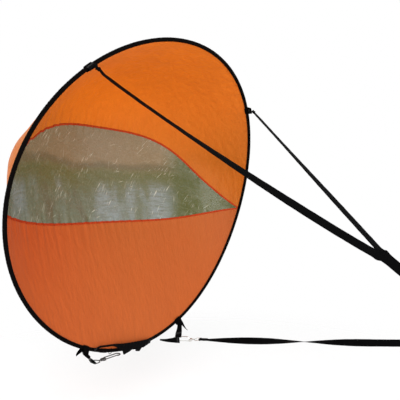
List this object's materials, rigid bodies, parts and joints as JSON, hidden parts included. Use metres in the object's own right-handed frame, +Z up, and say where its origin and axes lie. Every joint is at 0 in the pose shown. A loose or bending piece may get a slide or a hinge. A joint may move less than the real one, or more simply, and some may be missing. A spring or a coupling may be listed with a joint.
{
  "type": "canoe sail",
  "caption": "Round pop-up downwind sail on a spring hoop, with a bellied fabric skin, a clear window, a hand-held webbing bridle and snap hooks on its lower tabs.",
  "frame": {"origin": "lowest point of the rim, on its underside, as the sail is flown", "axes": "+Z up; +Y from the paddler toward the bow, the way the belly swells; +X the paddler's right; the hoop leans 16.55 degrees toward the paddler"},
  "size_m": [1.1309, 1.3042, 1.0791],
  "materials": {
    "orange_fabric": "woven ripstop nylon, matt with a faint sheen",
    "orange_fabric_lower": "woven ripstop nylon, matt with a faint sheen",
    "clear_film": "clear flexible vinyl film",
    "red_tape": "narrow woven seam tape",
    "black_binding": "woven edge binding",
    "black_webbing": "woven polypropylene webbing",
    "black_elastic": "knitted elastic band",
    "spring_steel": "bare spring steel",
    "nickel_hook": "nickel-plated, polished"
  },
  "bodies": {
    "sail": {"hoop": "spring_steel", "hoop_ferrule": "spring_steel", "rim_binding": "black_binding", "upper_panel": "orange_fabric", "lower_panel": "orange_fabric_lower", "window_film": "clear_film", "window_top_tape": "red_tape", "window_bottom_tape": "red_tape", "upper_left_tab": "black_webbing", "upper_right_tab": "black_webbing", "lower_left_tab": "black_webbing", "lower_right_tab": "black_webbing", "lower_left_end": "black_webbing", "lower_right_end": "black_webbing", "storage_band": "black_elastic", "storage_band_end": "black_elastic", "parking_loop": "black_webbing"},
    "bridle": {"bridle_strap_left": "black_webbing", "bridle_strap_right": "black_webbing"},
    "hand_loop": {"hand_loop": "black_webbing"},
    "right_drop": {"lower_right_drop": "black_webbing", "lower_right_tail": "black_webbing"},
    "right_hook": {"right_hook_body": "nickel_hook"},
    "right_gate": {"right_hook_gate": "nickel_hook"},
    "right_eye": {"right_hook_eye": "nickel_hook"},
    "foot_strap": {"foot_strap": "black_webbing"},
    "far_eye": {"far_hook_eye": "nickel_hook"},
    "far_hook": {"far_hook_body": "nickel_hook"},
    "far_gate": {"far_hook_gate": "nickel_hook"},
    "left_drop": {"lower_left_drop": "black_webbing"},
    "left_eye": {"left_hook_eye": "nickel_hook"},
    "left_hook": {"left_hook_body": "nickel_hook"},
    "left_gate": {"left_hook_gate": "nickel_hook"}
  },
  "joints": [
    {"name": "bridle_swing", "type": "hinge", "parent": "sail", "child": "bridle", "pos_m": [0, -0.26514, 0.89137], "axis": [1, 0, 0], "range_deg": [-95, 55]},
    {"name": "hand_loop_fold", "type": "hinge", "parent": "bridle", "child": "hand_loop", "pos_m": [0, -0.97721, 0.33251], "axis": [0, -0.6157, 0.788], "range_deg": [-75, 75]},
    {"name": "right_drop_swing", "type": "hinge", "parent": "sail", "child": "right_drop", "pos_m": [0.23244, -0.01012, 0.03599], "axis": [-0.9073, 0.0438, -0.4183], "range_deg": [-50, 20]},
    {"name": "right_hook_roll", "type": "hinge", "parent": "right_drop", "child": "right_hook", "pos_m": [0.21637, -0.01715, -0.0083], "axis": [-0.3688, 0.9263, -0.0772], "range_deg": [-40, 0]},
    {"name": "right_hook_gate", "type": "hinge", "parent": "right_hook", "child": "right_gate", "pos_m": [0.23378, -0.06086, -0.02141], "axis": [0.9291, 0.3699, 0], "range_deg": [0, 10], "stiffness_Nm_per_rad": 0.03, "springref_deg": -20.05},
    {"name": "right_hook_swivel", "type": "hinge", "parent": "right_hook", "child": "right_eye", "pos_m": [0.23857, -0.07288, -0.01369], "axis": [-0.3688, 0.9263, -0.0772], "continuous": true},
    {"name": "foot_strap_pivot", "type": "hinge", "parent": "right_eye", "child": "foot_strap", "pos_m": [0.25, -0.1016, -0.0113], "axis": [-0.9291, -0.3699, 0], "range_deg": [-45, 45]},
    {"name": "far_hook_pivot", "type": "hinge", "parent": "foot_strap", "child": "far_eye", "pos_m": [0.5421, -0.8352, 0.0498], "axis": [-0.0285, 0.0717, 0.997], "range_deg": [-60, 60]},
    {"name": "far_hook_swivel", "type": "hinge", "parent": "far_eye", "child": "far_hook", "pos_m": [0.55353, -0.86392, 0.05219], "axis": [0.3688, -0.9263, 0.0772], "continuous": true},
    {"name": "far_hook_gate", "type": "hinge", "parent": "far_hook", "child": "far_gate", "pos_m": [0.55832, -0.87594, 0.05991], "axis": [0.9291, 0.3699, 0], "range_deg": [0, 13], "stiffness_Nm_per_rad": 0.03, "springref_deg": -20.05},
    {"name": "left_drop_swing", "type": "hinge", "parent": "sail", "child": "left_drop", "pos_m": [-0.23098, -0.01666, 0.03845], "axis": [-0.9073, -0.0438, 0.4183], "range_deg": [-5, 25]},
    {"name": "left_hook_pivot", "type": "hinge", "parent": "left_drop", "child": "left_eye", "pos_m": [-0.2085, -0.027, 0.008], "axis": [0.0044, -1, 0], "range_deg": [-120, 0]},
    {"name": "left_hook_swivel", "type": "hinge", "parent": "left_eye", "child": "left_hook", "pos_m": [-0.1775, -0.02686, 0.00795], "axis": [1, 0.0044, -0.0018], "continuous": true},
    {"name": "left_hook_gate", "type": "hinge", "parent": "left_hook", "child": "left_gate", "pos_m": [-0.16397, -0.0335, 0.00792], "axis": [0.0018, 0, 1], "range_deg": [0, 13], "stiffness_Nm_per_rad": 0.03, "springref_deg": -20.05}
  ]
}
